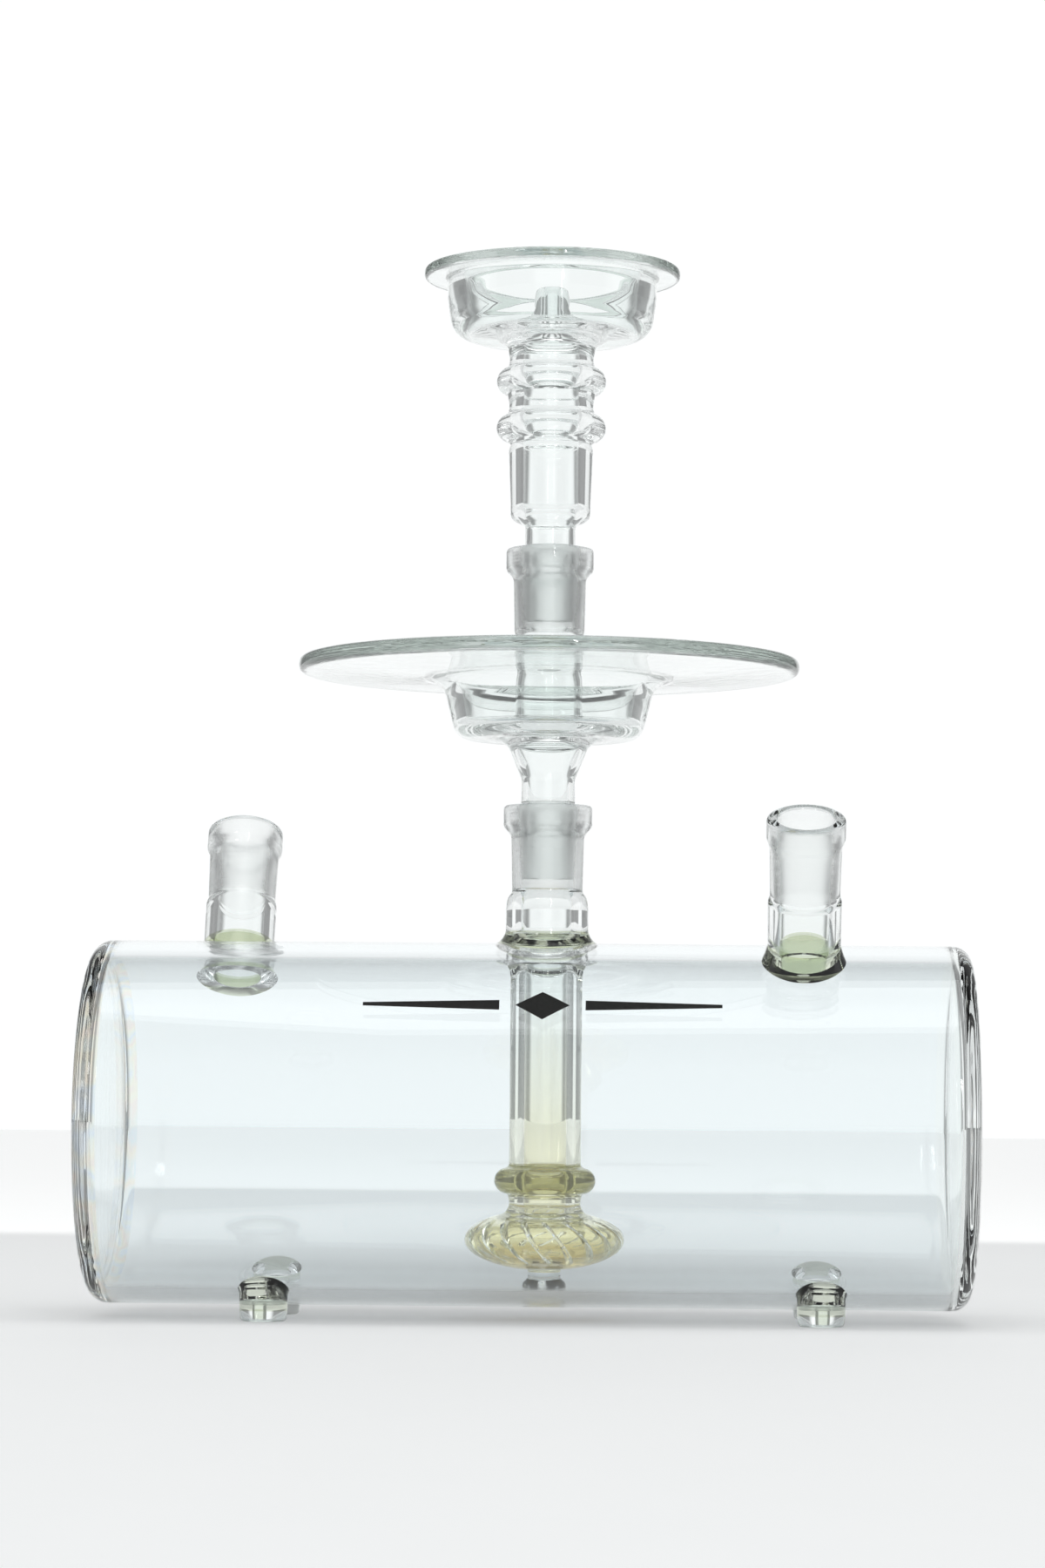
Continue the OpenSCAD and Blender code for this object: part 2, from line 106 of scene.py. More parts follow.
class Board:                                           # the node tree of one finish
    def __init__(self, owner):
        owner.use_nodes = True
        self.tree = owner.node_tree
        self.tree.nodes.clear()

    def node(self, kind, settings=None, sockets=None, out=0):
        made = self.tree.nodes.new(kind)
        for key, value in (settings or {}).items():
            if key == "stops":
                ramp = made.color_ramp
                while len(ramp.elements) < len(value):
                    ramp.elements.new(0.5)
                for element, (place, colour) in zip(ramp.elements, value):
                    element.position, element.color = place, (*colour, 1)
            else:
                setattr(made, key, value)
        for key, value in (sockets or {}).items():
            if isinstance(value, Socket):
                self.tree.links.new(value.socket, made.inputs[key])
            else:
                made.inputs[key].default_value = value
        return Socket(self, made.outputs[out]) if made.outputs else made

    def blend(self, share, first, second):             # a mix of two colours
        return self.node("ShaderNodeMix", {"data_type": "RGBA"}, {0: share, 6: first, 7: second}, 2)

    def ramp(self, value, low, high):                  # 0 below low and 1 above high, soft between
        return self.node("ShaderNodeMapRange", {"interpolation_type": "SMOOTHSTEP"},
                         {"Value": value, "From Min": low, "From Max": high})

    def place(self):
        return self.node("ShaderNodeTexCoord", out="Object")

    def stretch(self, scale, point=None):
        return self.node("ShaderNodeVectorMath", {"operation": "MULTIPLY"},
                         {0: point or self.place(), 1: scale})

    def noise(self, point, scale, detail=2.0):
        return self.node("ShaderNodeTexNoise", {}, {"Vector": point, "Scale": scale, "Detail": detail})

    def parts(self, point, axis):
        return self.node("ShaderNodeSeparateXYZ", {}, {0: point}, axis)

    def bump(self, height, strength, distance):
        return self.node("ShaderNodeBump", {}, {"Strength": strength, "Distance": distance, "Height": height})

    def finish(self, shader):
        self.node("ShaderNodeOutputMaterial", {}, {"Surface": shader})


glassSet = {"ior": 1.47, "ripple": 0.0004}               # ripple is the bump's depth in metres


def glassFinish(name, values, colour=None):
    material = bpy.data.materials.new(name)
    board = Board(material)
    streaks = board.noise(board.stretch(values["streak"]), values["scale"])
    sockets = {"Roughness": values["roughness"], "IOR": glassSet["ior"], "Transmission Weight": 1.0,
               "Normal": board.bump(streaks, values["wave"], glassSet["ripple"]),
               "Base Color": (*values["tint"], 1)}
    if colour:
        sockets["Base Color"] = colour(board, values)
    board.finish(board.node("ShaderNodeBsdfPrincipled", {}, sockets))
    return material


def fumeColour(board, values):                         # silver fume: yellow, deeper towards the diffuser
    height = board.parts(board.place(), "Z")
    depth = 1 - board.ramp(height, values["low"], values["high"])
    cloud = board.noise(board.place(), 60)
    share = depth * (0.86 + 0.28 * cloud)
    return board.blend(share, (*values["tint"], 1), (*values["fume"], 1))


def paintedGlintColour(board, values):                        # painted glints: rainbow colour painted into the tint of the rounded ends, standing in for split light
    drift = board.noise(board.stretch((1, 1, 1)), values["spread"], 3.0)
    bands = board.node("ShaderNodeMath", {"operation": "FRACT"}, {0: values["bands"] * drift})
    return board.node("ShaderNodeValToRGB", {"stops": values["stops"]}, {"Fac": bands})


clearSet = {"tint": (0.965, 0.982, 0.978), "roughness": 0.0, "streak": (1, 1, 0.12), "scale": 90, "wave": 0.05}
bodySet = {"tint": (0.928, 0.960, 0.968), "roughness": 0.0, "streak": (0.15, 1, 1), "scale": 40, "wave": 0.04}
# painted glints: these rainbow stops are painted into the rounded ends' colour in place of real dispersion
paintedGlintSet = {"tint": (0.86, 0.90, 0.86), "roughness": 0.0, "streak": (1, 0.3, 0.3), "scale": 90, "wave": 0.0,
            "spread": 38, "bands": 7.0,
            "stops": ((0.0, (0.83, 0.88, 0.83)), (0.22, (0.72, 0.82, 0.96)), (0.40, (0.83, 0.89, 0.84)),
                      (0.62, (0.93, 0.88, 0.72)), (0.78, (0.91, 0.79, 0.73)), (1.0, (0.83, 0.88, 0.83)))}
footSet = {"tint": (0.74, 0.78, 0.68), "roughness": 0.0, "streak": (1, 1, 1), "scale": 160, "wave": 0.10}
weldSet = {"tint": (0.57, 0.63, 0.44), "roughness": 0.0, "streak": (1, 1, 1), "scale": 160, "wave": 0.10}
thickSet = {"tint": (0.935, 0.962, 0.955), "roughness": 0.0, "streak": (1, 1, 0.3), "scale": 120, "wave": 0.07}
fumeSet = {"tint": (0.968, 0.982, 0.972), "fume": (0.965, 0.94, 0.80), "low": 0.034, "high": 0.108,
           "roughness": 0.0, "streak": (1, 1, 0.1), "scale": 110, "wave": 0.06}
beadSet = {"tint": (0.42, 0.40, 0.17), "roughness": 0.0, "streak": (1, 1, 0.3), "scale": 150, "wave": 0.16}
edgeSet = {"tint": (0.58, 0.67, 0.62), "roughness": 0.0, "streak": (0.35, 0.35, 4), "scale": 170, "wave": 0.22}
amberSet = {"tint": (0.95, 0.915, 0.70), "fume": (0.95, 0.77, 0.36), "low": 0.0175, "high": 0.0235,
            "roughness": 0.0, "streak": (1, 1, 0.4), "scale": 150, "wave": 0.08}
groundSet = {"tint": (0.955, 0.968, 0.963), "roughness": 0.29,
             "streak": (0.4, 0.4, 5), "scale": 160, "wave": 0.25}

finishes = {
    "clear": glassFinish("clearGlass", clearSet),
    "body": glassFinish("cylinderGlass", bodySet),
    "weld": glassFinish("weldGlass", weldSet),
    "prism": glassFinish("endGlass", paintedGlintSet, paintedGlintColour),
    "foot": glassFinish("footGlass", footSet),
    "bead": glassFinish("beadGlass", beadSet),
    "edge": glassFinish("rimGlass", edgeSet),
    "thick": glassFinish("thickGlass", thickSet),
    "fume": glassFinish("fumedGlass", fumeSet, fumeColour),
    "amber": glassFinish("amberGlass", amberSet, fumeColour),
    "ground": glassFinish("groundGlass", groundSet),
}
print("finishes made", round(time.perf_counter(), 1))


def soften(outline, steps=7):
    # rounds the corners of an outline of (radius, height, rounding, label); a label holds for what follows it
    points, label = [], outline[0][3]
    count = len(outline)
    for i, (r, z, cut, tag) in enumerate(outline):
        before, after = outline[i - 1] if i else None, outline[i + 1] if i + 1 < count else None
        newLabel = tag or label
        if not cut or before is None or after is None:
            points.append((r, z, newLabel))
        else:
            here = Vector((r, z))
            back, on = Vector(before[:2]) - here, Vector(after[:2]) - here
            reach = min(cut, back.length * 0.499, on.length * 0.499)
            start, end = here + back.normalized() * reach, here + on.normalized() * reach
            for k in range(steps + 1):
                t = k / steps
                p = start * (1 - t) ** 2 + here * 2 * t * (1 - t) + end * t ** 2
                points.append((p.x, p.y, label if t < 0.5 else newLabel))
        label = newLabel
    return points


def ovalArc(cr, cz, rr, rz, first, last, steps):
    angles = [math.radians(first + (last - first) * k / steps) for k in range(steps + 1)]
    return [(cr + rr * math.cos(a), cz + rz * math.sin(a), 0, None) for a in angles]


def turned(points, around, place, saddle=None):
    # spins points about the axis that place puts it on
    # saddle(radius, angle, height) bends a row to the cylinder
    verts, faces, labels = [], [], []
    rows = []
    for r, z, tag in points:
        if r < 1e-6:
            verts.append(place @ Vector((0, 0, z)))
            rows.append([len(verts) - 1] * around)
            continue
        row = []
        for j in range(around):
            a = 2 * math.pi * j / around
            lift = saddle(r, a, z) if saddle else 0
            verts.append(place @ Vector((r * math.cos(a), r * math.sin(a), z + lift)))
            row.append(len(verts) - 1)
        rows.append(row)
    for i in range(len(rows) - 1):
        low, high, tag = rows[i], rows[i + 1], points[i][2]
        for j in range(around):
            k = (j + 1) % around
            face = []
            for v in (low[j], low[k], high[k], high[j]):
                if v not in face:
                    face.append(v)
            if len(face) > 2:
                faces.append(face)
                labels.append(tag)
    return verts, faces, labels


def labelled(name, verts, faces, labels):              # an object whose material names are its faces' labels
    mesh = bpy.data.meshes.new(name)
    mesh.from_pydata([v * 0.001 for v in verts], [], faces)
    names = sorted(set(labels))
    for label in names:
        mesh.materials.append(bpy.data.materials.get(label) or bpy.data.materials.new(label))
    mesh.polygons.foreach_set("material_index", [names.index(label) for label in labels])
    mesh.update()
    made = bpy.data.objects.new(name, mesh)
    scene.collection.objects.link(made)
    return made


def joined(first, others, operation):
    group = bpy.data.collections.new("joining")
    for other in others:
        scene.collection.objects.unlink(other)
        group.objects.link(other)
    scene.collection.children.link(group)
    cut = first.modifiers.new("joining", "BOOLEAN")
    cut.operation, cut.solver, cut.operand_type, cut.collection = operation, "EXACT", "COLLECTION", group
    cut.material_mode = "TRANSFER"
    shaped = bpy.data.meshes.new_from_object(first.evaluated_get(bpy.context.evaluated_depsgraph_get()))
    first.modifiers.clear()
    first.data = shaped
    for other in others:
        bpy.data.objects.remove(other)
    bpy.data.collections.remove(group)
    return first


def shareOut(whole, body, sharp=32):
    # splits one welded skin into its named pieces, which meet edge to edge and keep the whole skin's normals
    mesh = whole.data
    mesh.polygons.foreach_set("use_smooth", [True] * len(mesh.polygons))
    mesh.set_sharp_from_angle(angle=math.radians(sharp))
    mesh.update()
    normals = [tuple(n.vector) for n in mesh.corner_normals]
    shares = {}
    for polygon in mesh.polygons:
        piece, finish = mesh.materials[polygon.material_index].name.split("|")[:2]
        shares.setdefault(piece, []).append((polygon, finish))
    coords = [v.co.copy() for v in mesh.vertices]
    axis = Vector((0, 0, axisZ * 0.001))
    for piece, owned in shares.items():
        index, verts, faces, corners = {}, [], [], []
        finishNames = sorted({finish for _, finish in owned})
        for polygon, finish in owned:
            face = []
            out = (polygon.center - axis) * Vector((0, 1, 1))
            facing = polygon.normal.dot(out.normalized()) if finish == "body" else 0
            for loop, v in zip(polygon.loop_indices, polygon.vertices):
                if v not in index:
                    index[v] = len(verts)
                    verts.append(coords[v])
                face.append(index[v])
                if abs(facing) > 0.97:                 # the cylinder's own skin is exactly round
                    roundWay = ((coords[v] - axis) * Vector((0, 1, 1))).normalized()
                    corners.append(tuple(roundWay if facing > 0 else -roundWay))
                else:
                    corners.append(normals[loop])
            faces.append(face)
        part = bpy.data.meshes.new(piece)
        part.from_pydata(verts, [], faces)
        for finish in finishNames:
            part.materials.append(finishes[finish])
        part.polygons.foreach_set("material_index", [finishNames.index(finish) for _, finish in owned])
        part.polygons.foreach_set("use_smooth", [True] * len(faces))
        part.normals_split_custom_set(corners)
        made = bpy.data.objects.new(piece, part)
        scene.collection.objects.link(made)
        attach(made, body)
        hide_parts(nodeOf[piece])
    labels = list(mesh.materials)
    bpy.data.objects.remove(whole)
    bpy.data.meshes.remove(mesh)
    return labels


def camel(node):
    words = node.split("_")
    return words[0] + "".join(word.capitalize() for word in words[1:])


nodeOf = {camel(node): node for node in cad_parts}


tubeLow, tubeHigh = span("body_tube")
capHigh = span("end_cap_right")[1]
radius = (tubeHigh.z - tubeLow.z) / 2
axisZ = (tubeHigh.z + tubeLow.z) / 2
bodySizes = {"wall": 5.0, "capWall": 4.8, "dome": 1.3, "shoulder": 6.0, "innerShoulder": 2.5}
innerRadius = radius - bodySizes["wall"]
halfTube = tubeHigh.x
stemLow, stemHigh = span("downstem")
stemX = (stemLow.x + stemHigh.x) / 2


def upright(z=0.0):
    return Matrix.Translation((stemX, 0, z))


def portAxis(x, lean):                                 # height along it is counted from the cylinder's axis
    return Matrix.Translation((x, 0, axisZ)) @ Matrix.Rotation(math.radians(lean), 4, "X")


def cylinderShell():
    s = bodySizes
    face = capHigh.x - halfTube - s["dome"]
    inner = face - s["capWall"]
    edge, innerEdge = radius - s["shoulder"], innerRadius - s["innerShoulder"]

    def half(side, cap):
        outer = [(edge * math.sin(math.radians(a)),
                  side * (halfTube + face + s["dome"] * math.cos(math.radians(a))), cap)
                 for a in range(0, 83, 6)]
        # the rounded shoulders take the painted rainbow glints
        outer += [(edge + s["shoulder"] * math.cos(math.radians(a)),
                   side * (halfTube + face - s["shoulder"] + s["shoulder"] * math.sin(math.radians(a))),
                   cap.replace("thick", "prism")) for a in range(90, -1, -10)]
        return outer + [(radius, side * halfTube, cap)]

    def halfInside(side, cap):
        skin = [(innerEdge * math.sin(math.radians(a)),
                 side * (halfTube + inner + s["dome"] * math.cos(math.radians(a))), cap)
                for a in range(0, 83, 6)]
        skin += [(innerEdge + s["innerShoulder"] * math.cos(math.radians(a)),
                  side * (halfTube + inner - s["innerShoulder"] + s["innerShoulder"] * math.sin(math.radians(a))),
                  cap)
                 for a in range(90, -1, -15)]
        return skin + [(innerRadius, side * halfTube, cap)]

    tube = "bodyTube|body"
    verts, faces, labels = [], [], []
    lying = Matrix.Translation((0, 0, axisZ)) @ Matrix.Rotation(math.radians(90), 4, "Y")
    for maker, flip in ((half, False), (halfInside, True)):
        left, right = maker(-1, "endCapLeft|thick"), maker(1, "endCapRight|thick")
        left[-1] = (*left[-1][:2], tube)
        belts = [(left[-1][0], -halfTube + 2 * halfTube * k / 8, tube) for k in range(1, 8)]
        ring = left + belts + [(r, z, "endCapRight|thick") for r, z, _ in reversed(right)]
        v, f, l = turned(ring, 192, lying)
        start = len(verts)
        verts += v
        faces += [[start + i for i in (face[::-1] if not flip else face)] for face in f]
        labels += l
    shell = labelled("shell", verts, faces, labels)
    return shell


def rodCutter(place, r, low, high, label):
    v, f, l = turned([(0, low, label), (r, low, label), (r, high, label), (0, high, label)], 64, place)
    return labelled("cutter", v, [face[::-1] for face in f], l)


neckHigh = span("neck")[1]
socketLow, socketHigh = span("base_socket")
beadLow, beadHigh = span("downstem_bead")
waistLow, waistHigh = span("diffuser_neck")
dishLow, dishHigh = span("diffuser")
stemSizes = {"mouth": 9.45, "taper": 0.05, "neck": 12.8, "neckBore": 7.5, "flare": 16.0, "flareHeight": 4.5,
             "tube": 11.1, "bore": 6.5, "shell": 2.4, "post": 5.0, "postFoot": 6.7, "innerFlare": 14.6,
             "slits": 18, "slitTurn": 4, "slitLean": 38, "slitHalf": 0.5, "slitTall": 0.86}


def stemGroup():
    s = stemSizes
    collarR = socketHigh.x - stemX
    beadR, waistR, dishR = beadHigh.x - stemX, waistHigh.x - stemX, dishHigh.x - stemX
    top, under = radius + axisZ, innerRadius + axisZ
    half = (dishHigh.z - dishLow.z) / 2
    middle = (dishHigh.z + dishLow.z) / 2
    oval = half / math.sqrt(1 - (waistR / dishR) ** 2)
    inR, inOval = dishR - s["shell"], oval - s["shell"]
    cut = math.degrees(math.asin(half / oval))
    hollowLow = half - s["shell"]
    inCut = math.degrees(math.acos(s["bore"] / inR))
    inLow = math.degrees(math.asin(hollowLow / inOval))
    floorZ = axisZ - innerRadius
    rim, bottom = socketHigh.z, socketLow.z
    outline = [(0, floorZ - 2.5, 0, "supportPost|clear"), (s["postFoot"], floorZ - 2.5, 0, None),
               (s["postFoot"], floorZ + 1.9, 1.6, None), (s["post"] + 0.1, floorZ + 3.2, 0.9, None),
               (s["post"], dishLow.z - 1.2, 0.8, None), (s["post"] + 1.6, dishLow.z, 0.6, "diffuser|amber")]
    outline += [(r, z, 0, None) for r, z, _, _ in ovalArc(0, middle, dishR, oval, -cut, cut, 22)]
    outline[-1] = (waistR + 0.9, dishHigh.z, 0.9, "diffuserNeck|fume")
    outline += [(waistR - 0.55, waistLow.z + 2.4, 1.6, None), (waistR, waistHigh.z - 0.5, 1.1, None)]
    outline += [(s["tube"] + 0.6 + (beadR - s["tube"] - 0.6) * math.cos(math.radians(a)),
                 (beadLow.z + beadHigh.z) / 2 + (beadHigh.z - beadLow.z) / 2 * math.sin(math.radians(a)), 0,
                 "downstemBead|bead") for a in range(-84, 85, 12)]
    outline += [(s["tube"], beadHigh.z + 0.7, 0.6, "downstem|fume"), (s["tube"], under - 5.5, 0, None),
                (s["tube"] + 0.35, under - 3.0, 0, None), (s["tube"] + 1.3, under - 1.1, 0, None),
                (s["innerFlare"], under + 0.9, 0, None), (s["innerFlare"], under + 2.4, 0, None),
                (s["flare"], top - 1.4, 0, "neck|weld"), (s["flare"], top - 0.15, 0, None)]
    outline += [(s["neck"] + (s["flare"] - s["neck"]) * (1 - k / 8) ** 1.9,
                 top - 0.15 + (s["flareHeight"] + 0.15) * (k / 8) ** 1.25, 0, "neck|weld" if k < 6 else "neck|clear")
                for k in range(1, 9)]
    outline += [(s["neck"], neckHigh.z - 4.4, 2.2, "neck|clear"),
                (s["neck"] - 0.5, neckHigh.z - 1.3, 1.6, None),
                (10.95, bottom + 0.2, 0.9, "baseSocket|clear"),
                (11.35, rim - 9.2, 1.4, None), (collarR, rim - 6.6, 1.2, None), (collarR, rim, 1.5, None),
                (s["mouth"] + 0.5, rim, 0.5, None), (s["mouth"] - 0.03, rim - 0.7, 0, "baseSocket|ground"),
                (s["mouth"] - (rim - bottom) * s["taper"], bottom + 1.2, 0, "baseSocket|clear"),
                (s["neckBore"], bottom - 0.6, 0.8, "neck|clear"), (s["neckBore"], top + 1.5, 1.5, None),
                (s["bore"], top - 1.5, 1.5, "downstem|fume"), (s["bore"], beadHigh.z, 0, "downstemBead|fume"),
                (s["bore"], beadLow.z, 0, "diffuserNeck|fume"),
                (s["bore"], dishHigh.z - 0.3, 0, "diffuser|amber")]
    outline += [(r, z, 0, None) for r, z, _, _ in ovalArc(0, middle, inR, inOval, inCut, -inLow, 22)]
    outline += [(0, middle - hollowLow, 0, None)]

    def saddle(r, a, z):                               # welds follow the cylinder outside and inside
        side = min(r, innerRadius) * math.sin(a)
        if z > top - 2.0:
            share = min(1, max(0, 1 - (z - top + 0.15) / (s["flareHeight"] + 0.15)))
            return -(radius - math.sqrt(radius ** 2 - side ** 2)) * share if r > 10 and z < top + 5 else 0
        if under - 6 < z and r > 10:
            share = min(1, max(0, (z - under + 5.5) / 4.4))
            return -(innerRadius - math.sqrt(innerRadius ** 2 - side ** 2)) * share
        if z < floorZ + 3.3 and z > floorZ - 1:
            return (innerRadius - math.sqrt(innerRadius ** 2 - side ** 2)) * 0.6
        return 0

    v, f, l = turned(soften(outline), 128, upright(), saddle)
    stem = labelled("stem", v, f, l)
    slits = []
    for k in range(s["slits"]):
        spin = math.radians(k * 360 / s["slits"] + s["slitTurn"])
        place = upright(middle) @ Matrix.Rotation(spin, 4, "Z") @ Matrix.Translation((dishR, 0, 0)) \
            @ Matrix.Rotation(math.radians(s["slitLean"]), 4, "X")
        wide, tall, deep = s["slitHalf"], half * s["slitTall"], dishR / 3
        corners = [place @ Vector((x, y, z))
                   for x in (-deep, deep) for y in (-wide, wide) for z in (-tall, tall)]
        box = [(0, 1, 3, 2), (4, 6, 7, 5), (0, 4, 5, 1), (2, 3, 7, 6), (0, 2, 6, 4), (1, 5, 7, 3)]
        slits.append(labelled("slit", corners, [list(q) for q in box], ["diffuser|clear"] * 6))
    return joined(stem, slits, "DIFFERENCE")


portSizes = {"tube": 11.1, "bore": 7.5, "hole": 5.5, "flare": 12.9, "collar": 12.0, "mouth": 8.5,
             "length": 47.0, "ground": 25.5, "weld": 6.0, "flareHeight": 5.9, "taper": 0.05, "lean": 26}


def hosePort(name, x, lean):
    s = portSizes
    base, mouth = radius, radius + s["length"]
    low = mouth - s["ground"]
    weld, tube, socket = name + "PortWeld", name + "PortTube", name + "PortSocket"
    outline = [(s["bore"], base - 1.6, 0, weld + "|weld"), (s["flare"], base - 1.6, 0, None),
               (s["flare"], base - 0.15, 0, None)]
    outline += [(s["tube"] + (s["flare"] - s["tube"]) * (1 - k / 8) ** 1.25,
                 base - 0.15 + s["flareHeight"] * (k / 8) ** 1.05, 0,
                 weld + "|weld") for k in range(1, 9)]
    outline += [(s["tube"], base + s["weld"], 0, tube + "|clear"), (s["tube"] + 0.1, low - 1.4, 1.4, None),
                (s["tube"] - 0.45, low, 0.8, socket + "|clear"), (s["tube"] - 0.1, mouth - 9.0, 1.0, None),
                (s["collar"], mouth - 6.4, 0.9, None), (s["collar"], mouth, 1.4, None),
                (s["mouth"] + 0.4, mouth, 0.4, None), (s["mouth"] - 0.03, mouth - 0.6, 0, socket + "|ground"),
                (s["mouth"] - s["ground"] * s["taper"], low, 0, tube + "|clear"),
                (s["bore"], low - 0.9, 0.5, None), (s["bore"], base + s["weld"], 0, weld + "|weld"),
                (s["bore"], base - 1.6, 0, None)]

    def saddle(r, a, z):
        side = r * math.sin(a)
        share = min(1, max(0, 1 - (z - base + 0.15) / 6.1))
        return -(radius - math.sqrt(radius ** 2 - side ** 2)) * share

    v, f, l = turned(soften(outline), 96, portAxis(x, lean), saddle)
    return labelled("port", v, f, l)


footSizes = {"radius": 7.1, "dimple": 3.0}


def footSolid(piece):
    low, high = span(nodeOf[piece])
    x, y = (low.x + high.x) / 2, (low.y + high.y) / 2
    topR, r = (high.x - low.x) / 2, footSizes["radius"]
    outward = 1 if y > 0 else -1
    rise = axisZ - math.sqrt(radius ** 2 - abs(y) ** 2)
    outline = [(0, low.z + 0.35, 0, piece + "|thick"), (footSizes["dimple"], low.z + 0.3, 0.5, None),
               (footSizes["dimple"] + 0.7, low.z, 0.5, None), (r - 0.2, low.z, 1.0, None),
               (r + 0.25, low.z + 3.0, 1.2, piece + "|foot"), (topR - 0.9, rise - 0.9, 1.2, None),
               (topR + 0.1, rise + 1.2, 0, None), (topR + 0.1, rise + 1.7, 0, None), (0, rise + 1.7, 0, None)]

    def saddle(radiusHere, a, z):                      # the top of a foot follows the cylinder's underside
        share = max(0, (z - low.z - 3.5) / (rise - low.z - 3.5))
        here = min(radius - 1, max(0, abs(y) + outward * radiusHere * math.sin(a)))
        return (axisZ - math.sqrt(radius ** 2 - here ** 2) - rise) * min(1, share)

    v, f, l = turned(soften(outline), 72, Matrix.Translation((x, y, 0)), saddle)
    return labelled("foot", v, f, l)


def makeBase():
    shell = cylinderShell()
    rearX = sum(v.x for v in span("rear_port_tube")) / 2
    frontX = sum(v.x for v in span("front_port_tube")) / 2
    lean = portSizes["lean"]
    holes = [rodCutter(upright(), 9.4, axisZ + 30, axisZ + radius + 8, "bodyTube|body")]
    for x, way in ((rearX, -lean), (frontX, lean)):
        holes.append(rodCutter(portAxis(x, way), portSizes["hole"], 40, radius + 8, "bodyTube|body"))
    shell = joined(shell, holes, "DIFFERENCE")
    print("cylinder pierced")
    glass = [stemGroup(), hosePort("rear", rearX, -lean), hosePort("front", frontX, lean)]
    glass += [footSolid(piece)
              for piece in ("footFrontLeft", "footFrontRight", "footRearLeft", "footRearRight")]
    whole = joined(shell, glass, "UNION")
    print("base welded:", len(whole.data.polygons), "faces")
    return shareOut(whole, "base")


labelMaterials = makeBase()


traySizes = {"coneBore": 6.0, "taper": 0.05, "cone": 9.4, "shank": 8.35, "shankBore": 6.3, "reducerTop": 17.7,
             "cupLow": 30.1, "cupTop": 34.15, "cupWall": 5.0, "floor": 4.4, "thick": 4.7, "dish": 2.4,
             "tube": 10.45, "tubeBore": 8.65, "mouth": 9.45}


def makeTray():
    s = traySizes
    coneLow, coneHigh = span("tray_cone")
    shankLow = span("tray_shank")[0]
    reducerLow, reducerHigh = span("tray_reducer")
    plateLow, plateHigh = span("ash_plate")
    rimLow, rimHigh = span("tray_socket")
    plateR, collarR = plateHigh.x - stemX, rimHigh.x - stemX
    cup, rise = plateLow.z, plateHigh.z - s["thick"] / 2
    inner = s["cupLow"] - s["cupWall"]
    outline = [(s["coneBore"], coneLow.z, 0, "trayCone|clear"),
               (s["cone"] - (coneHigh.z - coneLow.z) * s["taper"] - 0.3, coneLow.z, 0.3, None),
               (s["cone"] - (coneHigh.z - coneLow.z) * s["taper"], coneLow.z + 0.4, 0, "trayCone|ground"),
               (s["cone"] - 0.02, coneHigh.z - 0.3, 0, "trayCone|clear"),
               (s["shank"], coneHigh.z + 0.5, 0.5, "trayShank|clear"),
               (s["shank"] - 0.15, reducerLow.z - 1.5, 1.5, None),
               (s["shank"] + 0.7, reducerLow.z + 0.6, 1.5, "trayReducer|clear"),
               (s["reducerTop"] - 5.0, reducerHigh.z - 1.3, 2.2, None),
               (s["reducerTop"] + 1.2, cup + 0.05, 1.6, "ashPlate|thick"),
               (s["cupLow"] - 1.4, cup + 0.1, 5.4, None), (s["cupTop"] - 1.6, rise - 7.0, 4.5, None),
               (s["cupTop"] + 3.0, rise - s["thick"] / 2 - s["dish"] + 0.5, 5.0, None),
               (plateR - 8, rise - s["thick"] / 2 - 0.12, 6.0, None),
               (plateR, rise - s["thick"] / 2, 2.2, "ashPlate|edge"),
               (plateR, rise + s["thick"] / 2, 2.2, "ashPlate|thick"),
               (plateR - 9, rise + s["thick"] / 2 - 0.25, 5.0, None),
               (s["cupTop"] - s["cupWall"] + 2.6, rise + s["thick"] / 2 - s["dish"], 4.5, None),
               (s["cupTop"] - s["cupWall"] - 1.8, rise - 6.0, 4.0, None),
               (inner + 0.2, cup + s["floor"], 2.8, None),
               (s["tube"] + 1.4, cup + s["floor"] + 0.1, 0.8, None),
               (s["tube"], cup + s["floor"] + 1.4, 0.7, "trayTube|clear"),
               (s["tube"] - 0.15, (cup + rimLow.z) / 2, 6, None), (s["tube"] + 0.1, rimLow.z - 1.0, 1.0, None),
               (10.95, rimLow.z + 0.4, 0.6, "traySocket|clear"), (11.3, rimHigh.z - 9.4, 1.3, None),
               (collarR, rimHigh.z - 6.9, 1.1, None), (collarR, rimHigh.z, 1.5, None),
               (s["mouth"] + 0.5, rimHigh.z, 0.5, None),
               (s["mouth"] - 0.03, rimHigh.z - 0.7, 0, "traySocket|ground"),
               (s["mouth"] - (rimHigh.z - rimLow.z) * s["taper"], rimLow.z + 1.0, 0, "traySocket|clear"),
               (s["tubeBore"], rimLow.z - 0.4, 0.6, "trayTube|clear"), (s["tubeBore"], cup + 6.0, 3.0, None),
               (s["tubeBore"] + 0.2, cup + s["floor"] - 1, 1.5, "ashPlate|thick"),
               (s["reducerTop"] - 7.4, cup - 0.8, 2.2, "trayReducer|clear"),
               (s["shankBore"] + 0.4, reducerLow.z + 1.6, 2.2, None),
               (s["shankBore"], shankLow.z + 1, 1.0, "trayShank|clear"),
               (s["coneBore"], coneHigh.z - 1.0, 0.6, "trayCone|clear"),
               (s["coneBore"], coneLow.z, 0, None)]
    v, f, l = turned(soften(outline), 160, upright())
    return shareOut(labelled("tray", v, f, l), "tray")


labelMaterials += makeTray()
print("tray turned", round(time.perf_counter(), 1))


bowlSizes = {"coneBore": 6.0, "taper": 0.05, "cone": 9.4, "shank": 7.85, "shankBore": 6.3, "chamber": 13.2,
             "chamberLow": 12.4,
             "chamberBore": 8.7, "neck": 13.6, "neckBore": 8.8, "dish": 32.7, "dishWall": 5.6, "rimThick": 3.4,
             "spireTip": 5.0, "spireBase": 11.3, "spireBore": 2.3}


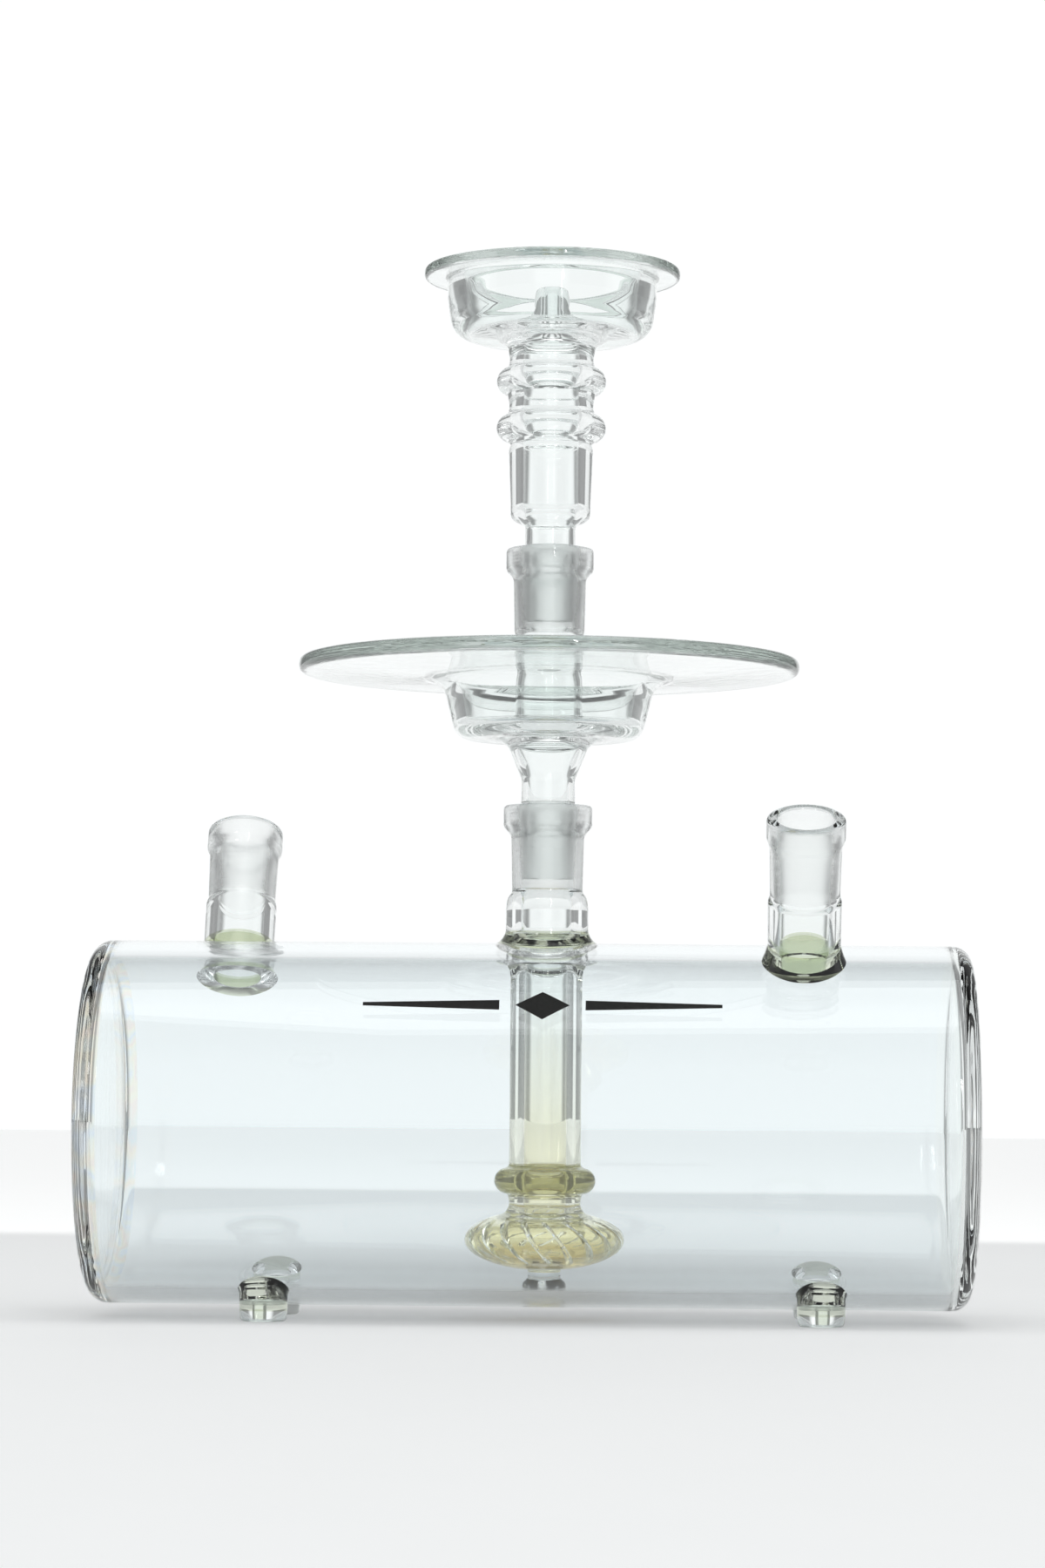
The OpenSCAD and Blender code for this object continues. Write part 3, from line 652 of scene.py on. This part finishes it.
def makeBowl():
    s = bowlSizes
    coneLow, coneHigh = span("bowl_cone")
    shankHigh = span("bowl_shank")[1]
    chamberLow, chamberHigh = span("bowl_chamber")
    neckBottom = span("bowl_neck")[0]
    dishBottom, dishTop = span("bowl_dish")
    spireLow, spireHigh = span("bowl_spire")
    rimR = dishTop.x - stemX
    outline = [(s["coneBore"], coneLow.z, 0, "bowlCone|clear"),
               (s["cone"] - (coneHigh.z - coneLow.z) * s["taper"] - 0.3, coneLow.z, 0.3, None),
               (s["cone"] - (coneHigh.z - coneLow.z) * s["taper"], coneLow.z + 0.4, 0, "bowlCone|ground"),
               (s["cone"] - 0.02, coneHigh.z - 0.3, 0, "bowlCone|clear"),
               (s["shank"], coneHigh.z + 0.5, 0.5, "bowlShank|clear"),
               (s["shank"] - 0.1, shankHigh.z - 0.8, 1.0, None),
               (s["shank"] + 1.0, chamberLow.z + 0.1, 1.0, "bowlChamber|clear"),
               (s["chamberLow"], chamberLow.z + 1.6, 4.5, None),
               (s["chamberLow"] + 0.1, chamberLow.z + 7, 2.0, None),
               (s["chamber"], chamberHigh.z - 1.6, 1.2, None),
               (s["neck"] - 1.0, chamberHigh.z, 0.6, "bowlNeck|clear")]
    for bead in ("bowl_bead_lower", "bowl_bead_upper"):
        low, high = span(bead)
        beadR, piece = high.x - stemX, camel(bead)
        middle, half = (low.z + high.z) / 2, (high.z - low.z) / 2
        outline.append((s["neck"] + 0.1, low.z - 0.1, 0, None))
        outline += [(s["neck"] + (beadR - s["neck"]) * math.cos(math.radians(a)),
                     middle + half * math.sin(math.radians(a)), 0,
                     piece + "|clear") for a in range(-82, 83, 12)]
        outline += [(s["neck"] + 0.1, high.z + 0.1, 0.5, "bowlNeck|clear"),
                    (s["neck"] - 0.55, high.z + 2.6, 1.8, None)]
    outline += [(s["neck"] + 0.2, dishBottom.z - 1.0, 1.5, None),
                (s["neck"] + 2.4, dishBottom.z + 0.35, 1.6, "bowlDish|thick"),
                (s["dish"] - 1.7, dishBottom.z + 1.6, 9.0, None), (s["dish"], dishBottom.z + 14.0, 4.5, None),
                (s["dish"], dishTop.z - 6.0, 1.0, None),
                (s["dish"] - 0.4, dishTop.z - s["rimThick"] + 0.2, 1.8, None),
                (rimR, dishTop.z - s["rimThick"], 1.5, "bowlDish|edge"),
                (rimR, dishTop.z, 1.5, "bowlDish|thick"),
                (s["dish"] - s["dishWall"] + 2.0, dishTop.z - 0.12, 2.2, None),
                (s["dish"] - s["dishWall"], dishTop.z - 4.0, 2.0, None),
                (s["dish"] - s["dishWall"], spireLow.z + 0.05, 2.6, None),
                (s["spireBase"] + 0.6, spireLow.z, 1.5, "bowlSpire|clear"),
                (s["spireTip"] + 2.2, spireLow.z + 3.6, 4.4, None),
                (s["spireTip"], spireHigh.z, 0.9, None), (s["spireBore"], spireHigh.z, 0.6, None),
                (s["spireBore"] + 0.1, spireLow.z + 0.3, 1.0, "bowlDish|thick"),
                (s["neckBore"] - 1.2, dishBottom.z + 1.9, 1.6, None),
                (s["neckBore"], dishBottom.z - 0.8, 1.2, "bowlNeck|clear"),
                (s["neckBore"], neckBottom.z + 1.0, 1.0, None),
                (s["chamberBore"], neckBottom.z - 1.0, 1.0, "bowlChamber|clear"),
                (s["chamberBore"], chamberLow.z + 5.0, 4.0, None),
                (s["shankBore"] + 0.6, chamberLow.z + 2.0, 1.6, None),
                (s["shankBore"], chamberLow.z, 1.0, "bowlShank|clear"),
                (s["shankBore"], coneHigh.z + 0.5, 0.4, None),
                (s["coneBore"], coneHigh.z - 1.0, 0.6, "bowlCone|clear"), (s["coneBore"], coneLow.z, 0, None)]
    v, f, l = turned(soften(outline), 144, upright())
    return shareOut(labelled("bowl", v, f, l), "bowl")


labelMaterials += makeBowl()
for label in {material.name for material in labelMaterials if material}:
    bpy.data.materials.remove(bpy.data.materials[label])
print("bowl turned", round(time.perf_counter(), 1))


def printFinish():
    material = bpy.data.materials.new("blackEnamel")
    board = Board(material)
    grain = board.noise(board.place(), 900, 3.0)
    colour = board.blend(grain, (0.006, 0.006, 0.006, 1), (0.022, 0.022, 0.021, 1))
    shader = board.node("ShaderNodeBsdfPrincipled", {}, {"Base Color": colour, "Roughness": 0.42 + 0.22 * grain,
                        "Specular IOR Level": 0.22,
                        "Normal": board.bump(grain, 0.2, 0.0001)})
    board.finish(shader)
    return material


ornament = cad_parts["printed_ornament"]
ornament.data.materials.clear()
ornament.data.materials.append(printFinish())


# floorGlow and sweepGlow are painted light: the floor's own emission, near and far
studioSet = {"floor": 8.0, "lineStart": 0.79, "lineEnd": 0.90, "floorGlow": 0.23, "sweepGlow": 0.46,
             "white": 1.02, "grey": 0.30, "ceilingBack": 0.08, "ceilingFront": 0.80,
             "lamps": (("softboxTop", (0.1, -0.2, 1.9), 1.2, 1.2, 6),       # name, place, width, height, watts
                       ("softboxFront", (-0.9, -1.7, 1.2), 0.3, 0.3, 2.0),
                       ("stripLight", (0.42, -1.75, 0.75), 0.05, 0.6, 2.4))}


def flat(name, corners, material):
    mesh = bpy.data.meshes.new(name)
    mesh.from_pydata(corners, [], [(0, 1, 2, 3)])
    mesh.materials.append(material)
    made = bpy.data.objects.new(name, mesh)
    scene.collection.objects.link(made)
    return made


def makeStudio(s):
    material = bpy.data.materials.new("floorPaper")
    board = Board(material)
    fibre = board.noise(board.place(), 35, 4.0)
    colour = board.blend(fibre, (0.88, 0.89, 0.89, 1), (0.91, 0.915, 0.915, 1))
    paintedSweepMask = board.ramp(board.parts(board.place(), "Y"), s["lineStart"], s["lineEnd"])      # painted light: the floor's far part glows brighter, a painted lit sweep behind
    nearGlow, farGlow = s["floorGlow"], s["sweepGlow"]
    glow = board.blend(paintedSweepMask, (nearGlow * 0.98, nearGlow * 0.99, nearGlow, 1), (farGlow, farGlow, farGlow, 1))
    # painted light: the floor glows through Emission, which lifts its shadows, and glows brighter on its far part
    shader = board.node("ShaderNodeBsdfPrincipled", {},
                        {"Base Color": colour, "Roughness": 0.9, "Specular IOR Level": 0.1,
                         "Emission Color": glow, "Emission Strength": 1.0})
    board.finish(shader)
    w = s["floor"]
    flat("floor", [(-w, -w, 0), (w, -w, 0), (w, w, 0), (-w, w, 0)], material)

    world = bpy.data.worlds.new("studio")
    scene.world = world
    board = Board(world)
    way = board.node("ShaderNodeTexCoord", out="Generated")
    x, y, z = (board.parts(way, axis) for axis in ("X", "Y", "Z"))
    level = board.node("ShaderNodeMath", {"operation": "ARCTAN2"}, {0: x, 1: y})
    windows = board.ramp(board.node("ShaderNodeMath", {"operation": "COSINE"}, {0: 4.0 * level}), -0.1, 0.5)
    sides = s["grey"] + (s["white"] - s["grey"]) * windows
    low = 1 - board.ramp(z, 0.60, 0.80)
    front = 1 - board.ramp(y, -0.25, 0.10)
    ceiling = s["ceilingBack"] + (s["ceilingFront"] - s["ceilingBack"]) * front
    light = low * sides + (1 - low) * ceiling
    below = 1 - board.ramp(z, -0.06, -0.03)
    light = (1 - below) * light + below * s["white"]
    tone = board.node("ShaderNodeCombineColor", {}, {0: light * 0.985, 1: light * 0.998, 2: light})
    glow = board.node("ShaderNodeBackground", {}, {"Color": tone, "Strength": 1.0})
    board.node("ShaderNodeOutputWorld", {}, {"Surface": glow})

    for name, place, wide, tall, power in s["lamps"]:
        data = bpy.data.lights.new(name, "AREA")
        data.shape, data.size, data.size_y, data.energy = "RECTANGLE", wide, tall, power
        lamp = bpy.data.objects.new(name, data)
        lamp.location = place
        lamp.rotation_mode = "QUATERNION"
        lamp.rotation_quaternion = (Vector((0, 0, 0.12)) - Vector(place)).to_track_quat("-Z", "Y")
        scene.collection.objects.link(lamp)


makeStudio(studioSet)
print("studio set", round(time.perf_counter(), 1))
